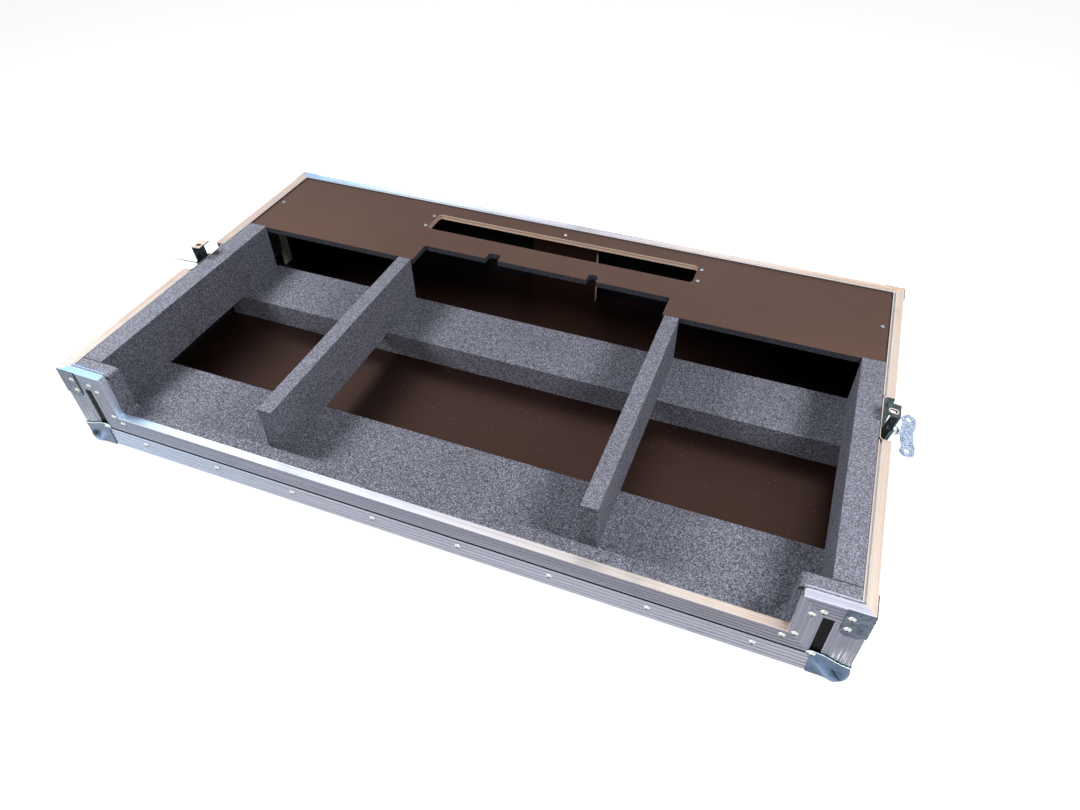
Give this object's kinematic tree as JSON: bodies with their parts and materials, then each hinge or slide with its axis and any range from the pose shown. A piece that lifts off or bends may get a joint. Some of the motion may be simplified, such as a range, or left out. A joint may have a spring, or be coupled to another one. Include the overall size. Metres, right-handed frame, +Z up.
{
  "type": "flight case base tray",
  "caption": "Shallow plywood flight case tray with ribbed aluminium edging, a stepped front, ball corners, butterfly latches, recessed handles, grey foam fittings and a rear cable shelf",
  "frame": {"origin": "on the ground under the middle of the case, at the level of the flats under the ball corners", "axes": "+X along the case's length to its right end as seen from the stepped front, +Y to the back, +Z up"},
  "size_m": [1.2084, 0.651, 0.1709],
  "materials": {
    "dark_ply": "plywood faced with dark phenolic laminate, satin",
    "floor_ply": "plywood with a dark brown phenolic film, glossy",
    "shelf_ply": "plywood with a brown phenolic film, satin",
    "edging_aluminium": "extruded and ribbed, satin",
    "zinc_steel": "pressed steel sheet, zinc plated, bluish",
    "bright_steel": "bright plated steel",
    "grey_foam": "closed cell foam, speckled dark grey",
    "black_rubber": "moulded, matt"
  },
  "bodies": {
    "case": {"floor_panel": "floor_ply", "front_panel": "dark_ply", "rear_panel": "dark_ply", "left_panel": "dark_ply", "right_panel": "dark_ply", "rear_shelf": "shelf_ply", "shelf_battens": "floor_ply", "shelf_support_board": "floor_ply", "batten_straps": "edging_aluminium", "bottom_edging_front": "edging_aluminium", "bottom_edging_rear": "edging_aluminium", "bottom_edging_left": "edging_aluminium", "bottom_edging_right": "edging_aluminium", "corner_edging_front_left": "edging_aluminium", "corner_edging_front_right": "edging_aluminium", "corner_edging_rear_left": "edging_aluminium", "corner_edging_rear_right": "edging_aluminium", "rim_left": "edging_aluminium", "rim_right": "edging_aluminium", "rim_rear": "edging_aluminium", "front_lip": "edging_aluminium", "step_profiles": "edging_aluminium", "block_caps": "edging_aluminium", "ball_corner_front_left": "zinc_steel", "ball_corner_front_right": "zinc_steel", "ball_corner_rear_left": "zinc_steel", "ball_corner_rear_right": "zinc_steel", "top_braces_front": "zinc_steel", "top_braces_rear": "zinc_steel", "foam_front": "grey_foam", "foam_side_left": "grey_foam", "foam_side_right": "grey_foam", "foam_divider_left": "grey_foam", "foam_divider_right": "grey_foam", "foam_low_front": "grey_foam", "foam_low_rear": "grey_foam", "rivets_front": "bright_steel", "rivets_rear": "bright_steel", "rivets_ends": "bright_steel", "shelf_screws": "bright_steel", "latch_dish_left": "zinc_steel", "latch_dish_right": "zinc_steel", "latch_hinge_pins": "bright_steel", "handle_dish_left": "zinc_steel", "handle_dish_right": "zinc_steel"},
    "carrier_left": {"latch_carrier_left": "zinc_steel"},
    "hook_left": {"latch_hook_left": "zinc_steel"},
    "spindle_left": {"latch_spindle_left": "bright_steel", "wing_pin_left": "bright_steel"},
    "wing_left": {"latch_wing_left": "zinc_steel"},
    "handle_left": {"handle_bail_left": "bright_steel", "handle_grip_left": "black_rubber"},
    "carrier_right": {"latch_carrier_right": "zinc_steel"},
    "hook_right": {"latch_hook_right": "zinc_steel"},
    "spindle_right": {"latch_spindle_right": "bright_steel", "wing_pin_right": "bright_steel"},
    "wing_right": {"latch_wing_right": "zinc_steel"},
    "handle_right": {"handle_bail_right": "bright_steel", "handle_grip_right": "black_rubber"}
  },
  "joints": [
    {"name": "latch_swing_right", "type": "hinge", "parent": "case", "child": "carrier_right", "pos_m": [0.55922, 0, 0.08], "axis": [0, 1, 0], "range_deg": [-9, 51]},
    {"name": "latch_turn_right", "type": "hinge", "parent": "carrier_right", "child": "spindle_right", "pos_m": [0.56688, 0, 0.1284], "axis": [0.9877, 0, -0.1564], "range_deg": [0, 180]},
    {"name": "hook_travel_right", "type": "slide", "parent": "carrier_right", "child": "hook_right", "axis": [0.1564, 0, 0.9877], "range_m": [0, 0.008]},
    {"name": "wing_fold_right", "type": "hinge", "parent": "spindle_right", "child": "wing_right", "pos_m": [0.57555, 0, 0.12702], "axis": [0, 1, 0], "range_deg": [0, 90]},
    {"name": "latch_swing_left", "type": "hinge", "parent": "case", "child": "carrier_left", "pos_m": [-0.55922, 0, 0.08], "axis": [0, -1, 0], "range_deg": [-6, 54]},
    {"name": "latch_turn_left", "type": "hinge", "parent": "carrier_left", "child": "spindle_left", "pos_m": [-0.56434, 0, 0.12873], "axis": [0.9945, 0, 0.1045], "range_deg": [-140, 40]},
    {"name": "hook_travel_left", "type": "slide", "parent": "carrier_left", "child": "hook_left", "axis": [-0.1045, 0, 0.9945], "range_m": [-0.00622, 0.00178]},
    {"name": "wing_fold_left", "type": "hinge", "parent": "spindle_left", "child": "wing_left", "pos_m": [-0.57307, 0, 0.12781], "axis": [0.0672, 0.766, -0.6393], "range_deg": [0, 90]},
    {"name": "handle_lift_right", "type": "hinge", "parent": "case", "child": "handle_right", "pos_m": [0.5637, 0.134, 0.09964], "axis": [0, -1, 0], "range_deg": [0, 90], "stiffness_Nm_per_rad": 0.08, "springref_deg": -11.46},
    {"name": "handle_lift_left", "type": "hinge", "parent": "case", "child": "handle_left", "pos_m": [-0.5637, 0.134, 0.09964], "axis": [0, 1, 0], "range_deg": [0, 90], "stiffness_Nm_per_rad": 0.08, "springref_deg": -11.46}
  ],
  "couplings": [
    {"joint": "hook_travel_right", "follows": "latch_turn_right", "m_per_rad": 0.002546},
    {"joint": "hook_travel_left", "follows": "latch_turn_left", "m_per_rad": 0.002546}
  ]
}
